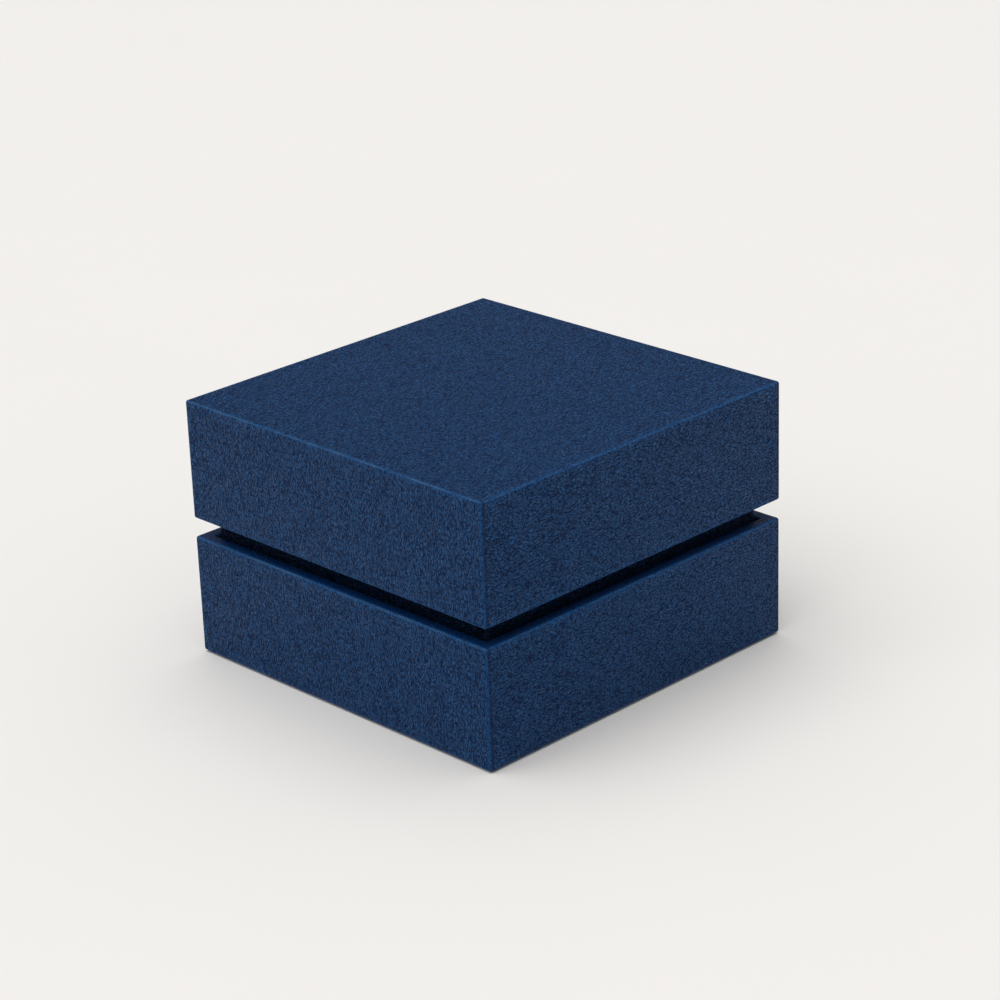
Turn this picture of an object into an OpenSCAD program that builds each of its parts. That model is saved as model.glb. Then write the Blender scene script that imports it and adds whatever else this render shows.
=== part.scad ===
// Square lift-off gift box for jewellery, of the shoulder-neck kind.
// Two greyboard trays of one outer size meet over an inset neck, which leaves a dark reveal between them.
// The origin is the centre of the underside, on the surface that the box stands on, with +Z up.
// Lengths are millimetres. An inset is a distance in from the box's sides.

/* [Box] */
// Outer width, along X
box_w = 70; // [56:0.5:90]
// Outer depth, along Y
box_d = 70; // [56:0.5:90]
// Height of the base tray, from the ground to its rim
base_h = 21.5; // [17:0.1:30]
// Open band between the base's rim and the lid's rim, where the neck shows
reveal_h = 3.3; // [1:0.1:6]
// Height of the lid
lid_h = 21.2; // [19:0.1:30]

/* [Board and covering] */
// Thickness of the greyboard in both trays
board_t = 2; // [1:0.1:2.6]
// Thickness of the embossed covering
skin_t = 0.25; // [0.1:0.05:0.35]
// Outer radius of the covering where it turns round an edge
edge_r = 0.5; // [0.4:0.05:0.7]
// How far the covering is turned in over a tray's rim and along the inside
rim_turn = 12; // [4:0.5:14]
// How far the covering is turned under the base
under_turn = 10; // [5:0.5:15]
// Thickness of the tape that stays the board's corners
stay_t = 0.1; // [0.05:0.05:0.15]
// Width of one leg of that tape
stay_leg = 10; // [5:0.5:14]
// How far the tape's ends stop short of the wall's ends
stay_end = 1.5; // [0.5:0.5:3]

/* [Underside] */
// Thickness of the sheet glued over the turned-under covering
under_t = 0.25; // [0.1:0.05:0.6]
// Inset of that sheet's edges
under_inset = 3; // [1:0.5:4.5]

/* [Neck] */
// Thickness of the neck's board
neck_t = 1.5; // [1:0.1:2.2]
// Open gap between the neck and the trays, all round
neck_gap = 0.5; // [0.3:0.05:1]
// How far the neck's covering is turned in over its top edge
neck_turn = 7; // [4:0.5:12]
// Thickness of the velvet paper that lines the neck and the floor
lining_t = 0.3; // [0.2:0.05:0.5]
// How far the lining's top edge lies below the neck's top
lining_drop = 2.5; // [1:0.5:3.5]

/* [Insert] */
// Free room between the insert and the lining
insert_gap = 0.7; // [0.5:0.05:1.5]
// Thickness of the folded card
card_t = 1; // [0.6:0.1:1.5]
// Depth of the hidden space under the card
well_h = 8; // [5:0.5:12]
// Thickness of the foam sheet under the two upper pads
foam_base_t = 2; // [1:0.5:5]
// Height of the two upper pads of foam, and so the depth of the ring slot between them
foam_pad_h = 10; // [6:0.5:12]
// Thickness of the velvet
velvet_t = 0.5; // [0.3:0.1:0.8]
// Open width of the ring slot
slot_w = 0.6; // [0.4:0.1:2]
// How far the velvet is turned up inside the card's skirt
velvet_turn = 4; // [2:0.5:5]

/* [Pull ribbon] */
// Width of the ribbon
ribbon_w = 10; // [10:0.5:15]
// Thickness of the ribbon
ribbon_t = 0.3; // [0.2:0.05:0.4]
// Length that lies on the pad
ribbon_lay = 13; // [8:0.5:18]
// Length that hangs down behind the pad
ribbon_down = 12; // [6:0.5:16]
// Air under the ribbon where it lies on the pad
ribbon_lift = 0.1; // [0.05:0.05:0.5]

/* [Lid pad] */
// Free room between the lid's pad and the neck's lining
pad_gap = 1.7; // [1:0.1:4]
// Thickness of the pad's card
pad_card_t = 1; // [0.6:0.1:1.5]
// Thickness of the pad's foam
pad_foam_t = 3.4; // [2:0.1:5]
// Thickness of the satin
satin_t = 0.3; // [0.2:0.05:0.5]
// How far the satin is turned over the card's back
satin_turn = 6; // [3:0.5:12]
// Thickness of the lid's lining paper
paper_t = 0.2; // [0.1:0.05:0.25]

/* [Hidden] */
$fn = 48;
// How far a cutter runs past what it cuts
eps = 0.01;

box_h = base_h + reveal_h + lid_h;
// The covering keeps its thickness where it turns round the board's eased edge
board_r = edge_r - skin_t;
// A tray's wall, with its covering outside and inside
wall = board_t + 2 * skin_t;
board_in = skin_t + board_t;
// Height of a tray panel's inner face, where the walls stand on it
panel_z = skin_t + board_t;
base_floor_z = under_t + skin_t + board_t;
lid_ceiling_z = box_h - skin_t - board_t;

// The lid's lining rests on the neck's top edge, which holds the reveal open
neck_top_z = lid_ceiling_z - paper_t;
neck_in = wall + neck_gap;
neck_board_in = neck_in + skin_t;
neck_hollow_in = neck_board_in + neck_t;
neck_turn_z = neck_top_z - neck_turn;
lining_in = neck_hollow_in + skin_t + lining_t;
lining_low_in = neck_hollow_in + lining_t;

insert_in = lining_in + insert_gap;
insert_foot_z = base_floor_z + lining_t;
card_in = insert_in + velvet_t;
card_foot_z = insert_foot_z + velvet_t;
card_top_z = card_foot_z + well_h + card_t;
well_in = card_in + card_t;
foam_split_z = card_top_z + foam_base_t;
foam_top_z = foam_split_z + foam_pad_h;
pad_top_z = foam_top_z + velvet_t;
slot_floor_z = foam_split_z + velvet_t;

pad_in = lining_in + pad_gap;
pad_card_top_z = neck_top_z - satin_t;
pad_foam_top_z = pad_card_top_z - pad_card_t;
pad_foam_low_z = pad_foam_top_z - pad_foam_t;
pad_face_z = pad_foam_low_z - satin_t;

navy = [0.13, 0.22, 0.34];
dark_navy = [0.08, 0.14, 0.24];
board_grey = [0.6, 0.58, 0.54];
kraft = [0.72, 0.56, 0.38];
ivory = [0.9, 0.86, 0.78];
satin_ivory = [0.95, 0.92, 0.85];
foam_white = [0.93, 0.92, 0.88];

// A square-edged prism between two heights, inset from the box's sides
module block(inset, z0, z1) {
    translate([inset - box_w / 2, inset - box_d / 2, z0])
        cube([box_w - 2 * inset, box_d - 2 * inset, z1 - z0]);
}

// A wall that runs round between two insets
module frame(outer_in, inner_in, z0, z1) {
    difference() {
        block(outer_in, z0, z1);
        block(inner_in, z0 - eps, z1 + eps);
    }
}

// A rectangle with rounded corners, from its lowest corner to its highest
module round_rect(x0, y0, x1, y1, r) {
    translate([x0 + r, y0]) square([x1 - x0 - 2 * r, y1 - y0]);
    translate([x0, y0 + r]) square([x1 - x0, y1 - y0 - 2 * r]);
    for (x = [x0 + r, x1 - r], y = [y0 + r, y1 - r])
        translate([x, y]) circle(r);
}

// An upright prism of the box's outline, inset, with rounded corners
module outline(inset, r) {
    linear_extrude(box_h)
        round_rect(inset - box_w / 2, inset - box_d / 2, box_w / 2 - inset, box_d / 2 - inset, r);
}

// Sweeps a profile of [inset, height] round the box's four sides, with mitred corners; the profile ends
// at an inset of depth at most
module sweep_round(depth) {
    margin = 1;
    for (side = [0 : 3]) {
        along_x = side % 2 == 1;
        half = (along_x ? box_d : box_w) / 2;
        half_run = (along_x ? box_w : box_d) / 2;
        rotate(90 * side) translate([half, 0, 0])
            intersection() {
                rotate([90, 0, 0])
                    linear_extrude(2 * (half_run + margin), center = true)
                        mirror([1, 0]) children();
                linear_extrude(box_h)
                    polygon([
                        [margin, -half_run - margin],
                        [margin, half_run + margin],
                        [-depth, half_run - depth],
                        [-depth, depth - half_run]
                    ]);
            }
    }
}

// A wall that runs round between two insets, with every outer edge and rim edge rounded
module round_frame(outer_in, inner_in, z0, z1, r) {
    intersection() {
        sweep_round(inner_in + eps) round_rect(outer_in, z0, inner_in, z1, r);
        outline(outer_in, r);
    }
}

// The space between two nested outlines, which tape laid on the outer face fills
module tape_layer(inset) {
    difference() {
        outline(inset, board_r);
        outline(inset + stay_t, board_r);
    }
}

// A tray stands with its closed side at height 0 and its rim at height h; the lid is one turned over.

// Tape bent round the four upright corners of the walls, pressed flush into the board
module tray_stays(h) {
    z0 = panel_z + stay_end;
    z1 = h - skin_t - stay_end;
    intersection() {
        tape_layer(skin_t);
        for (x = [-1, 1], y = [-1, 1])
            translate([x * (box_w - stay_leg) / 2, y * (box_d - stay_leg) / 2, (z0 + z1) / 2])
                cube([stay_leg, stay_leg, z1 - z0], center = true);
    }
}

// The tray's greyboard as a whole, which the covering goes round
module tray_board(h) {
    round_frame(skin_t, board_in, skin_t, h - skin_t, board_r);
    block(edge_r, skin_t, panel_z);
}

// A flat panel of greyboard closes the tray
module tray_panel(h) {
    intersection() {
        tray_board(h);
        block(0, 0, panel_z);
    }
}

// A strip of greyboard, scored and folded round, is glued on the panel as its four walls
module tray_frame(h) {
    difference() {
        tray_board(h);
        block(-eps, 0, panel_z);
        tray_stays(h);
    }
}

// The covering: over the closed side and the walls, round the rim and down the inside
module tray_wrap(h) {
    difference() {
        union() {
            round_frame(0, wall, 0, h, edge_r);
            block(edge_r, 0, skin_t);
        }
        tray_board(h);
        block(board_in, skin_t, h - rim_turn);
    }
}

module as_base() { translate([0, 0, under_t]) children(); }

module as_lid() { translate([0, 0, box_h]) mirror([0, 0, 1]) children(); }

module base_floor_panel() { color(board_grey) as_base() tray_panel(base_h - under_t); }

module base_wall_frame() { color(board_grey) as_base() tray_frame(base_h - under_t); }

module base_corner_stays() { color(kraft) as_base() tray_stays(base_h - under_t); }

module base_wrap() {
    color(navy) as_base() difference() {
        tray_wrap(base_h - under_t);
        block(under_turn, -eps, skin_t + eps);
    }
}

module base_underside_sheet() { color(dark_navy) block(under_inset, 0, under_t); }

module base_floor_lining() { color(ivory) block(lining_low_in, base_floor_z, insert_foot_z); }

// The neck's folded strip of board, before its joint is taped
module neck_strip() {
    round_frame(neck_board_in, neck_hollow_in, base_floor_z, neck_top_z - skin_t, board_r);
}

// One strip of tape holds the ends of the neck's board together, at the rear right corner
module neck_joint_tape() {
    z0 = base_floor_z + stay_end;
    z1 = neck_top_z - skin_t - stay_end;
    color(kraft) intersection() {
        tape_layer(neck_board_in);
        translate([box_w / 2 - neck_board_in - stay_leg, box_d / 2 - neck_board_in - stay_leg, z0])
            cube([stay_leg + eps, stay_leg + eps, z1 - z0]);
    }
}

module neck_board() {
    color(board_grey) difference() {
        neck_strip();
        neck_joint_tape();
    }
}

// The covering goes up the neck's outside, over its top edge and down inside, and ends at the neck's foot
module neck_wrap() {
    color(dark_navy) difference() {
        round_frame(neck_in, neck_hollow_in + skin_t, base_floor_z, neck_top_z, edge_r);
        neck_strip();
        block(neck_hollow_in, base_floor_z - eps, neck_turn_z);
        frame(neck_board_in, neck_hollow_in, base_floor_z - eps, base_floor_z + edge_r);
    }
}

// The lining steps in where it laps over the turned-in covering
module neck_lining() {
    color(ivory) {
        frame(neck_hollow_in, lining_low_in, base_floor_z, neck_turn_z);
        frame(neck_hollow_in, lining_in, neck_turn_z - lining_t, neck_turn_z);
        frame(neck_hollow_in + skin_t, lining_in, neck_turn_z, neck_top_z - lining_drop);
    }
}

// A card folded down on all four sides, so that it stands over a hidden well
module insert_platform() {
    color(board_grey) difference() {
        block(card_in, card_foot_z, card_top_z);
        block(well_in, card_foot_z - eps, card_foot_z + well_h);
    }
}

module insert_foam_base() { color(foam_white) block(card_in, card_top_z, foam_split_z); }

// An upper pad of foam, on one side of the ring slot and of the velvet that lines it
module foam_pad(rear) {
    clear = slot_w / 2 + velvet_t;
    depth = box_d / 2 - card_in - clear;
    color(foam_white) translate([card_in - box_w / 2, rear ? clear : -clear - depth, foam_split_z])
        cube([box_w - 2 * card_in, depth, foam_pad_h]);
}

module insert_foam_front() { foam_pad(false); }

module insert_foam_rear() { foam_pad(true); }

// One piece of velvet: over the pads, down into the slot between them and turned up inside the card's skirt
module insert_velvet() {
    color(ivory) {
        difference() {
            block(insert_in, insert_foot_z, pad_top_z);
            block(card_in, card_foot_z, foam_split_z);
            block(well_in + velvet_t, insert_foot_z - eps, card_foot_z + eps);
            foam_pad(false);
            foam_pad(true);
            translate([-box_w / 2, -slot_w / 2, slot_floor_z])
                cube([box_w, slot_w, foam_pad_h + eps]);
        }
        frame(well_in, well_in + velvet_t, insert_foot_z, card_foot_z + velvet_turn);
    }
}

// Glued to the back of the insert, over its rear edge and forward on the pad
module insert_pull_ribbon() {
    back_y = box_d / 2 - insert_in;
    low_z = pad_top_z - ribbon_down;
    lay_z = pad_top_z + ribbon_lift;
    color(satin_ivory) {
        translate([-ribbon_w / 2, back_y, low_z])
            cube([ribbon_w, ribbon_t, lay_z + ribbon_t - low_z]);
        translate([-ribbon_w / 2, back_y + ribbon_t - ribbon_lay, lay_z])
            cube([ribbon_w, ribbon_lay, ribbon_t]);
    }
}

module lid_top_panel() { color(board_grey) as_lid() tray_panel(lid_h); }

module lid_wall_frame() { color(board_grey) as_lid() tray_frame(lid_h); }

module lid_corner_stays() { color(kraft) as_lid() tray_stays(lid_h); }

module lid_wrap() { color(navy) as_lid() tray_wrap(lid_h); }

// Lining paper on the lid's ceiling, turned down to meet the turned-in covering
module lid_lining() {
    color(ivory) {
        block(board_in, lid_ceiling_z - paper_t, lid_ceiling_z);
        frame(board_in, board_in + paper_t, base_h + reveal_h + rim_turn, lid_ceiling_z);
    }
}

module lid_pad_card() { color(board_grey) block(pad_in + satin_t, pad_foam_top_z, pad_card_top_z); }

module lid_pad_foam() { color(foam_white) block(pad_in + satin_t, pad_foam_low_z, pad_foam_top_z); }

// Satin drawn over the foam and the card, and glued down on the card's back
module lid_pad_satin() {
    color(satin_ivory) difference() {
        block(pad_in, pad_face_z, neck_top_z);
        block(pad_in + satin_t, pad_foam_low_z, pad_card_top_z);
        block(pad_in + satin_turn, pad_card_top_z - eps, neck_top_z + eps);
    }
}

base_floor_panel();
base_wall_frame();
base_corner_stays();
base_wrap();
base_underside_sheet();
base_floor_lining();
neck_board();
neck_joint_tape();
neck_wrap();
neck_lining();
insert_platform();
insert_foam_base();
insert_foam_front();
insert_foam_rear();
insert_velvet();
insert_pull_ribbon();
lid_top_panel();
lid_wall_frame();
lid_corner_stays();
lid_wrap();
lid_lining();
lid_pad_card();
lid_pad_foam();
lid_pad_satin();
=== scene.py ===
"""Looks of a square lift-off jewellery box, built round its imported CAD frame.

Every length is in metres and in the frame's own place: the origin is the centre of the underside, with
+Z up. Each sub-assembly is a class that builds its pieces and dresses them; each finish is a class that
makes a material.
"""

import logging
import math
from collections.abc import Callable, Iterable
from dataclasses import dataclass
from enum import Enum
from functools import cache

import bmesh
import bpy
from mathutils import Matrix, Vector, noise
from mathutils.bvhtree import BVHTree


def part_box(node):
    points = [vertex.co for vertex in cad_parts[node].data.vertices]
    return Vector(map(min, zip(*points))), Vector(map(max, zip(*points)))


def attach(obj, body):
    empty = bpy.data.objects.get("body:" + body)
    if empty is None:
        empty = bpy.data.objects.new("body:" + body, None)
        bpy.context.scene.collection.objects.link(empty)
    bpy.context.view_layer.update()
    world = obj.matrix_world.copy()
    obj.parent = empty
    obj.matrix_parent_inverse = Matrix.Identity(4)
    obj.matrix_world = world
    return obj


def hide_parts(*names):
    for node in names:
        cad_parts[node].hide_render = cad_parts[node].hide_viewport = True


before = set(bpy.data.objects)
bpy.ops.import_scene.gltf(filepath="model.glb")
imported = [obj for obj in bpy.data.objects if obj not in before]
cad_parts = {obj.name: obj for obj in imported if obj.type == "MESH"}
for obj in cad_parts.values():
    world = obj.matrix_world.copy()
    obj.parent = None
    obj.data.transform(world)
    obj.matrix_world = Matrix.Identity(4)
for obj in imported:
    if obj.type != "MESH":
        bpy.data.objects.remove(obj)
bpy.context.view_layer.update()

MM = 0.001
SAME = 1e-6
FLUSH = 1e-5
CUT_NEAR = 1e-7
SMOOTH_BELOW = math.radians(35)
CLOTH_SMOOTH_BELOW = math.radians(60)
Colour = tuple[float, float, float]
Socket = bpy.types.NodeSocket
Material = bpy.types.Material
Piece = bpy.types.Object
Mesh = bmesh.types.BMesh
Point = bmesh.types.BMVert
Edge = bmesh.types.BMEdge
log = logging.getLogger("gift_box")


# ---------------------------------------------------------------- materials


class NodeSheet:
    """A material's node tree, with short calls for the nodes that the finishes share."""

    def __init__(self, name: str) -> None:
        """Starts an empty material.

        Args:
            name: The material's name.
        """
        self.material = bpy.data.materials.new(name)
        self.material.use_nodes = True
        self.tree = self.material.node_tree
        self.tree.nodes.clear()
        self.shader = self.tree.nodes.new("ShaderNodeBsdfPrincipled")
        output = self.tree.nodes.new("ShaderNodeOutputMaterial")
        self.tree.links.new(self.shader.outputs["BSDF"], output.inputs["Surface"])

    def node(self, kind: str, inputs: dict | None = None, **settings) -> bpy.types.Node:
        """Adds a node.

        Args:
            kind: The node's type, without its ShaderNode prefix.
            inputs: Socket names or numbers, each with a constant or another node's output.
            settings: The node's own properties.

        Returns:
            The new node.
        """
        made = self.tree.nodes.new("ShaderNode" + kind)
        for key, value in settings.items():
            setattr(made, key, value)
        for key, value in (inputs or {}).items():
            self.plug(made.inputs[key], value)
        return made

    def plug(self, socket: Socket, value: object) -> None:
        """Sets a socket to a constant, or links it to an output."""
        if isinstance(value, Socket):
            self.tree.links.new(value, socket)
        else:
            socket.default_value = value

    def dress(self, **inputs: object) -> None:
        """Sets the shader's sockets; an underscore in a name stands for a space."""
        for key, value in inputs.items():
            self.plug(self.shader.inputs[key.replace("_", " ")], value)

    def place(self, scale: tuple[float, float, float] = (1, 1, 1)) -> Socket:
        """Object coordinates, stretched along each axis.

        Args:
            scale: What each coordinate is multiplied by.

        Returns:
            The coordinates.
        """
        where = self.node("TexCoord").outputs["Object"]
        return self.node("Mapping", {"Vector": where, "Scale": scale}).outputs["Vector"]

    def noise(self, where: Socket, size: float, detail: float = 2.0, rough: float = 0.5) -> Socket:
        """Cloudy noise from 0 to 1.

        Args:
            where: The coordinates.
            size: The width of one cloud, in metres.
            detail: How many finer layers it has.
            rough: How strong the finer layers are.

        Returns:
            The noise's value.
        """
        inputs = {"Vector": where, "Scale": 1 / size, "Detail": detail, "Roughness": rough}
        return self.node("TexNoise", inputs).outputs["Fac"]

    def warp(self, where: Socket, size: float, amount: float) -> Socket:
        """Coordinates pushed about by noise.

        Args:
            where: The coordinates.
            size: The width of one push, in metres.
            amount: How far the furthest points move, in metres.

        Returns:
            The new coordinates.
        """
        inputs = {"Vector": where, "Scale": 1 / size, "Detail": 2.0}
        cloud = self.node("TexNoise", inputs).outputs["Color"]
        centred = self.node("VectorMath", {0: cloud, 1: (0.5, 0.5, 0.5)}, operation="SUBTRACT")
        push = self.node("VectorMath", {0: centred.outputs[0], "Scale": 2 * amount}, operation="SCALE")
        return self.node("VectorMath", {0: where, 1: push.outputs[0]}, operation="ADD").outputs[0]

    def cells(self, where: Socket, size: float) -> Socket:
        """How far each point is from the edge of its irregular cell.

        Args:
            where: The coordinates.
            size: The width of one cell, in metres.

        Returns:
            The distance, in cell widths.
        """
        inputs = {"Vector": where, "Scale": 1 / size}
        return self.node("TexVoronoi", inputs, feature="DISTANCE_TO_EDGE").outputs["Distance"]

    def maths(self, operation: str, a: object, b: object = 0.0, clamp: bool = False) -> Socket:
        """One sum on two values.

        Args:
            operation: Blender's name for the sum.
            a: The first value.
            b: The second value.
            clamp: Whether the result stays from 0 to 1.

        Returns:
            The result.
        """
        return self.node("Math", {0: a, 1: b}, operation=operation, use_clamp=clamp).outputs[0]

    def spread(
        self, value: Socket, low: float, high: float, to_low: float = 0.0, to_high: float = 1.0
    ) -> Socket:
        """Maps a range onto another with a smooth start and end.

        Args:
            value: What is mapped.
            low: The value that becomes to_low.
            high: The value that becomes to_high.
            to_low: The new low end.
            to_high: The new high end.

        Returns:
            The mapped value.
        """
        inputs = {"Value": value, "From Min": low, "From Max": high, "To Min": to_low, "To Max": to_high}
        return self.node("MapRange", inputs, interpolation_type="SMOOTHSTEP").outputs["Result"]

    def blend(self, share: Socket, a: object, b: object) -> Socket:
        """A colour between two colours.

        Args:
            share: 0 for the first colour and 1 for the second.
            a: The first colour, as three numbers or an output.
            b: The second colour.

        Returns:
            The colour.
        """
        made = self.node("Mix", data_type="RGBA")
        self.plug(made.inputs[0], share)
        for socket, colour in ((made.inputs[6], a), (made.inputs[7], b)):
            self.plug(socket, colour if isinstance(colour, Socket) else (*colour, 1.0))
        return made.outputs[2]

    def attribute(self, name: str) -> Socket:
        """The value of a number stored on the mesh's points."""
        return self.node("Attribute", attribute_name=name).outputs["Fac"]

    def unfolded(self, scale: tuple[float, float, float]) -> Socket:
        """Coordinates on the flat sheet that a covering is folded from, stretched along each axis."""
        where = self.node("Attribute", attribute_name="sheet").outputs["Vector"]
        return self.node("Mapping", {"Vector": where, "Scale": scale}).outputs["Vector"]

    def relief(self, height: Socket, depth: float) -> Socket:
        """A normal bent by a height from 0 to 1.

        Args:
            height: The height.
            depth: The height's full range, in metres.

        Returns:
            The normal.
        """
        inputs = {"Height": height, "Distance": depth, "Strength": 1.0}
        return self.node("Bump", inputs).outputs["Normal"]


@dataclass(frozen=True)
class Leatherette:
    """Embossed covering paper: pebbles with dark creases that are partly painted shade, pressed smoother
    along its folds and drawn lighter there as wear with a painted highlight, and drawn darker by the laps as
    a lap line with painted shade and on the rim's top as painted shade.
    """

    name: str
    # crease: the colour low in the grain, partly the grain's own tone and partly painted shade in the creases
    crease: Colour
    pebble: Colour
    # the lighter colour drawn on the folds: wear and a painted highlight
    rubbed_and_highlight: Colour
    pebble_size: float = 0.5 * MM
    grain_run: float = 0.55
    depth: float = 0.9 * MM
    rough: float = 0.36
    specular: float = 0.19
    level: float = 0.62

    @cache
    def build(self) -> Material:
        """Makes the material. Returns: the material."""
        s = NodeSheet(self.name)
        flat = s.unfolded((self.grain_run, 1.0, 1.0))
        bent = s.warp(flat, 1.3 * self.pebble_size, 0.55 * self.pebble_size)
        pressed, worn_and_highlight, seam_and_shade = (s.attribute(name) for name in ("pressed", "worn_and_highlight", "seam_and_shade"))
        pebbles = s.spread(s.cells(bent, self.pebble_size), 0.0, 0.26)
        small = s.spread(s.cells(bent, 0.62 * self.pebble_size), 0.0, 0.3)
        swirl = s.maths("SUBTRACT", s.noise(bent, 1.2 * self.pebble_size, 0.0, 0.5), 0.5)
        wrinkles = s.spread(s.maths("ABSOLUTE", swirl), 0.0, 0.1)
        high = s.maths("MULTIPLY", pebbles, 0.3)
        high = s.maths("ADD", high, s.maths("MULTIPLY", small, 0.3))
        high = s.maths("ADD", high, s.maths("MULTIPLY", wrinkles, 0.4))
        kept = s.maths("SUBTRACT", 1.0, s.maths("MULTIPLY", pressed, 0.75))
        above = s.maths("MULTIPLY", s.maths("SUBTRACT", high, self.level), kept)
        height = s.maths("ADD", self.level, above)
        tint = s.spread(height, 0.2, 0.95)
        gloss = s.maths("MULTIPLY", worn_and_highlight, 0.4)
        # low grain is drawn in the crease colour: partly the grain's own tone, partly painted shade in the
        # creases
        ground = s.blend(tint, self.crease, self.pebble)
        # marked strips are drawn towards the crease colour: painted shade on the rim's top under the lid, and
        # a lap line with painted shade beside the corners
        ground = s.blend(s.maths("MULTIPLY", seam_and_shade, 0.85), ground, self.crease)
        # the folds are drawn lighter: wear and a painted highlight on the rounded edges
        rubbing_and_highlight = s.maths("MULTIPLY", worn_and_highlight, s.spread(small, 0.0, 1.0, 0.6, 1.0))
        s.dress(
            Base_Color=s.blend(rubbing_and_highlight, ground, self.rubbed_and_highlight),
            Roughness=s.spread(worn_and_highlight, 0.0, 1.0, self.rough, 0.34),
            Specular_IOR_Level=s.maths("MAXIMUM", s.spread(tint, 0.0, 1.0, 0.05, self.specular), gloss),
            Normal=s.relief(height, self.depth),
        )
        return s.material


@dataclass(frozen=True)
class RoughBoard:
    """Unbleached board or paper: flecked fibres on a dull ground."""

    name: str
    ground: Colour
    fleck: Colour
    fibre: float = 0.5 * MM
    depth: float = 0.02 * MM

    @cache
    def build(self) -> Material:
        """Makes the material. Returns: the material."""
        s = NodeSheet(self.name)
        where = s.place()
        flecks = s.spread(s.noise(s.warp(where, self.fibre, self.fibre), self.fibre, 4.0, 0.7), 0.5, 0.72)
        tooth = s.noise(where, 0.3 * self.fibre, 3.0, 0.65)
        s.dress(
            Base_Color=s.blend(flecks, self.ground, self.fleck),
            Roughness=s.spread(tooth, 0.2, 0.8, 0.82, 0.95),
            Specular_IOR_Level=0.25,
            Normal=s.relief(tooth, self.depth),
        )
        return s.material


@dataclass(frozen=True)
class Pile:
    """Velvet or flocked paper: a short nap that is brushed lighter and darker in patches."""

    name: str
    deep: Colour
    tip: Colour
    patch: float = 9 * MM
    depth: float = 0.12 * MM
    sheen: float = 0.55

    @cache
    def build(self) -> Material:
        """Makes the material. Returns: the material."""
        s = NodeSheet(self.name)
        where = s.place()
        nap = s.noise(where, 0.16 * MM, 3.0, 0.7)
        cloud = s.noise(s.warp(where, self.patch, 0.4 * self.patch), self.patch, 3.0, 0.55)
        brushed = s.spread(cloud, 0.2, 0.8)
        share = s.maths("ADD", s.maths("MULTIPLY", nap, 0.7), s.maths("MULTIPLY", brushed, 0.4), clamp=True)
        s.dress(
            Base_Color=s.blend(share, self.deep, self.tip),
            Roughness=0.92,
            Specular_IOR_Level=0.2,
            Sheen_Weight=self.sheen,
            Sheen_Roughness=0.4,
            Sheen_Tint=(*self.tip, 1.0),
            Normal=s.relief(s.maths("ADD", nap, s.maths("MULTIPLY", brushed, 0.25)), self.depth),
        )
        return s.material


@dataclass(frozen=True)
class Satin:
    """Woven satin: fine floating threads that run one way, with a soft gloss."""

    name: str
    shade: Colour
    light: Colour
    thread: float = 0.14 * MM
    run: tuple[float, float, float] = (1.0, 0.12, 1.0)
    depth: float = 0.012 * MM
    rough: float = 0.36

    @cache
    def build(self) -> Material:
        """Makes the material. Returns: the material."""
        s = NodeSheet(self.name)
        threads = s.noise(s.place(self.run), self.thread, 2.0, 0.6)
        drift = s.noise(s.place(), 7 * MM, 2.0, 0.5)
        share = s.maths("MULTIPLY", threads, 0.6)
        share = s.maths("ADD", share, s.maths("MULTIPLY", drift, 0.45), clamp=True)
        s.dress(
            Base_Color=s.blend(share, self.shade, self.light),
            Roughness=s.spread(threads, 0.25, 0.75, self.rough + 0.08, self.rough),
            Specular_IOR_Level=0.6,
            Sheen_Weight=0.25,
            Sheen_Roughness=0.3,
            Normal=s.relief(threads, self.depth),
        )
        return s.material


@dataclass(frozen=True)
class Foam:
    """Open-cell foam: small round pores, drawn darker than the skin as painted shade."""

    name: str
    shaded_pore: Colour
    skin: Colour

    @cache
    def build(self) -> Material:
        """Makes the material. Returns: the material."""
        s = NodeSheet(self.name)
        where = s.place()
        pores = s.spread(s.cells(where, 0.55 * MM), 0.0, 0.3)
        s.dress(
            # the pores are drawn in the darker colour: painted shade in the pores
            Base_Color=s.blend(pores, self.skin, self.shaded_pore),
            Roughness=0.95,
            Specular_IOR_Level=0.2,
            Normal=s.relief(s.maths("SUBTRACT", 1.0, pores), 0.15 * MM),
        )
        return s.material


@dataclass(frozen=True)
class PaleGround:
    """The studio floor: a plain pale sheet."""

    name: str
    tone: Colour

    @cache
    def build(self) -> Material:
        """Makes the material. Returns: the material."""
        s = NodeSheet(self.name)
        where = s.place()
        soft = s.noise(where, 60 * MM, 2.0, 0.5)
        darker = tuple(0.985 * c for c in self.tone)
        s.dress(Base_Color=s.blend(soft, darker, self.tone), Roughness=0.7, Specular_IOR_Level=0.3)
        return s.material


# the first colour is partly painted shade in the creases; the lighter colour on the folds is wear with a
# painted highlight
NAVY = Leatherette(
    "navy_leatherette", (0.0014, 0.023, 0.098), (0.0085, 0.104, 0.322), rubbed_and_highlight=(0.055, 0.15, 0.3)
)
# the neck's covering is drawn far darker than the outer covering: painted shade for the gap under the lid
SHADED_NECK_NAVY = Leatherette(
    "neck_leatherette", (0.0006, 0.004, 0.014), (0.004, 0.026, 0.085), rubbed_and_highlight=(0.01, 0.04, 0.11)
)
GREYBOARD = RoughBoard("greyboard", (0.3, 0.28, 0.25), (0.42, 0.4, 0.36))
KRAFT = RoughBoard("kraft_tape", (0.42, 0.27, 0.14), (0.52, 0.36, 0.21))
NAVY_PAPER = RoughBoard("underside_paper", (0.006, 0.014, 0.034), (0.012, 0.026, 0.058), fibre=0.35 * MM)
CREAM_PAPER = RoughBoard("lining_paper", (0.72, 0.66, 0.55), (0.8, 0.75, 0.65), fibre=0.35 * MM)
VELVET = Pile("velvet", (0.6, 0.53, 0.42), (0.86, 0.8, 0.68))
VELVET_PAPER = Pile("velvet_paper", (0.54, 0.47, 0.37), (0.78, 0.71, 0.59), depth=0.05 * MM, sheen=0.35)
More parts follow.
